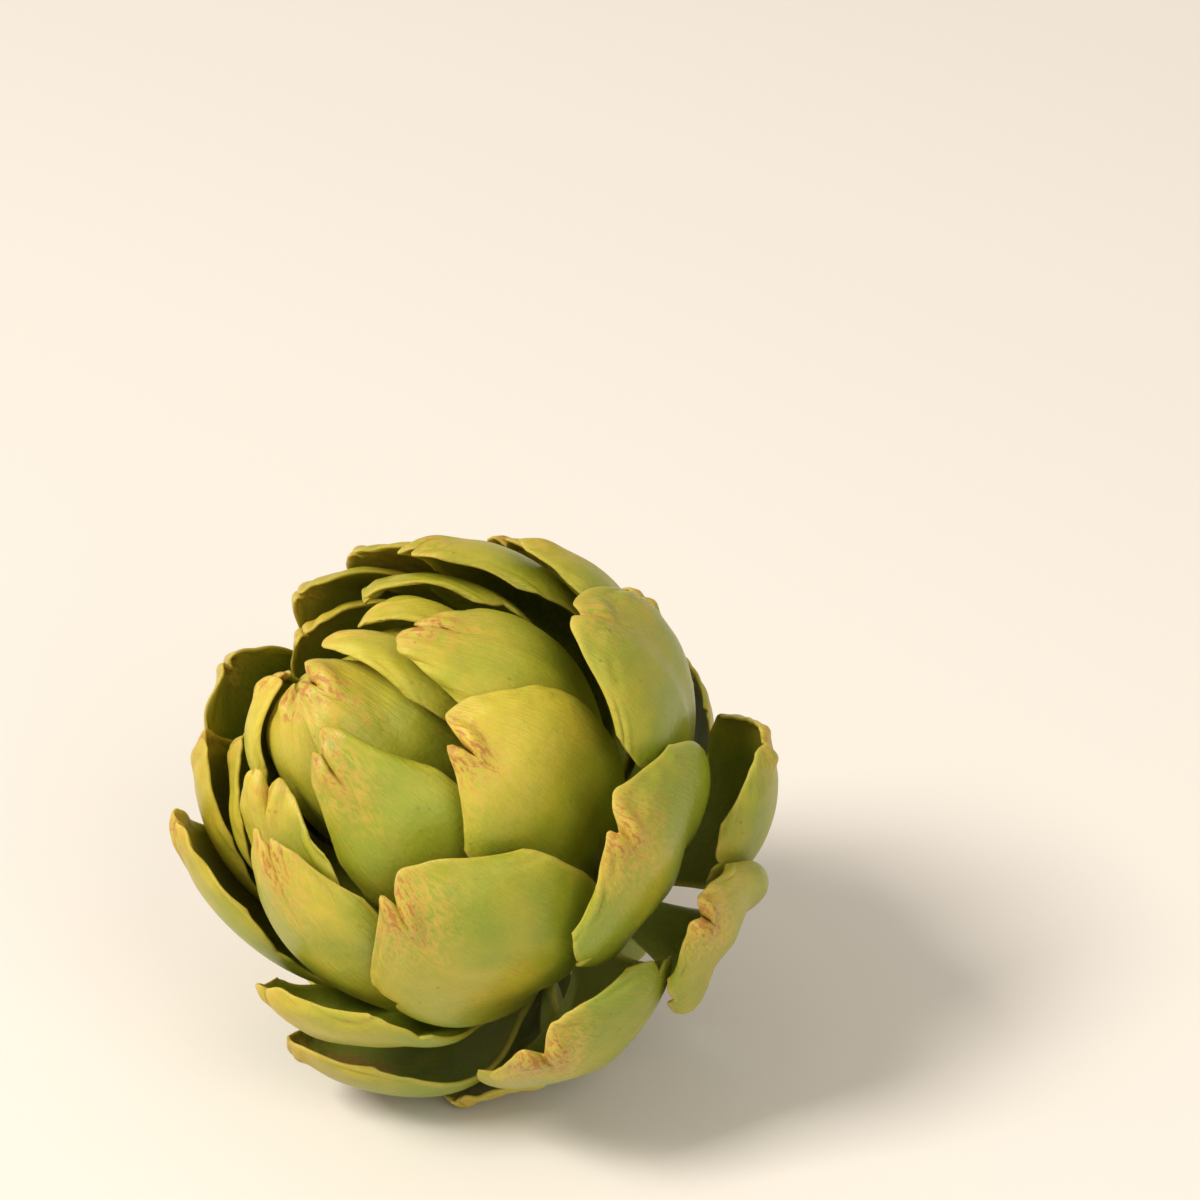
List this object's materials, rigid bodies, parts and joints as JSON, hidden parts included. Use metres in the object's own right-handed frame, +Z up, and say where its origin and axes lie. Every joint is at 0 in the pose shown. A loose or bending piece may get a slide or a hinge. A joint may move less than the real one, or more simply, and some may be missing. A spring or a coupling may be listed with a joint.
{
  "type": "artichoke",
  "caption": "Whole globe artichoke, crown closed and outer bracts open, lying on the backs of its lower bracts.",
  "frame": {"origin": "on the surface it rests on, under the middle of its box", "axes": "+Z up, crown leans towards -X and a little towards -Y"},
  "size_m": [0.123, 0.1144, 0.1175],
  "materials": {
    "crown_bract_flesh": "young bract, pale yellow-green, satin",
    "inner_bract_flesh": "bract, yellow-green with pale tip, satin",
    "middle_bract_flesh": "bract, yellow-green with bronze-brown tip and fine veins, satin",
    "outer_bract_flesh": "bract, green with bronze-brown tip and fine veins, satin",
    "basal_bract_flesh": "small bract, duller green, satin",
    "stem_flesh": "pale green fibrous plant flesh, cut end dried"
  },
  "bodies": {
    "root": {"crown_bract_1": "crown_bract_flesh", "crown_bract_2": "crown_bract_flesh", "crown_bract_3": "crown_bract_flesh", "crown_bract_4": "crown_bract_flesh", "crown_bract_5": "crown_bract_flesh", "crown_bract_6": "crown_bract_flesh", "crown_bract_7": "crown_bract_flesh", "inner_bract_1": "inner_bract_flesh", "inner_bract_2": "inner_bract_flesh", "inner_bract_3": "inner_bract_flesh", "inner_bract_4": "inner_bract_flesh", "inner_bract_5": "inner_bract_flesh", "inner_bract_6": "inner_bract_flesh", "inner_bract_7": "inner_bract_flesh", "middle_bract_1": "middle_bract_flesh", "middle_bract_2": "middle_bract_flesh", "middle_bract_3": "middle_bract_flesh", "middle_bract_4": "middle_bract_flesh", "middle_bract_5": "middle_bract_flesh", "middle_bract_6": "middle_bract_flesh", "middle_bract_7": "middle_bract_flesh", "middle_bract_8": "middle_bract_flesh", "middle_bract_9": "middle_bract_flesh", "middle_bract_10": "middle_bract_flesh", "middle_bract_11": "middle_bract_flesh", "middle_bract_12": "middle_bract_flesh", "middle_bract_13": "middle_bract_flesh", "middle_bract_14": "middle_bract_flesh", "middle_bract_15": "middle_bract_flesh", "middle_bract_16": "middle_bract_flesh", "middle_bract_17": "middle_bract_flesh", "outer_bract_1": "outer_bract_flesh", "outer_bract_2": "outer_bract_flesh", "outer_bract_3": "outer_bract_flesh", "outer_bract_4": "outer_bract_flesh", "outer_bract_5": "outer_bract_flesh", "outer_bract_6": "outer_bract_flesh", "outer_bract_7": "outer_bract_flesh", "outer_bract_8": "outer_bract_flesh", "outer_bract_9": "outer_bract_flesh", "basal_bract_1": "basal_bract_flesh", "basal_bract_2": "basal_bract_flesh", "basal_bract_3": "basal_bract_flesh", "basal_bract_4": "basal_bract_flesh", "basal_bract_5": "basal_bract_flesh", "basal_bract_6": "basal_bract_flesh", "receptacle_and_stem": "stem_flesh"}
  },
  "joints": []
}
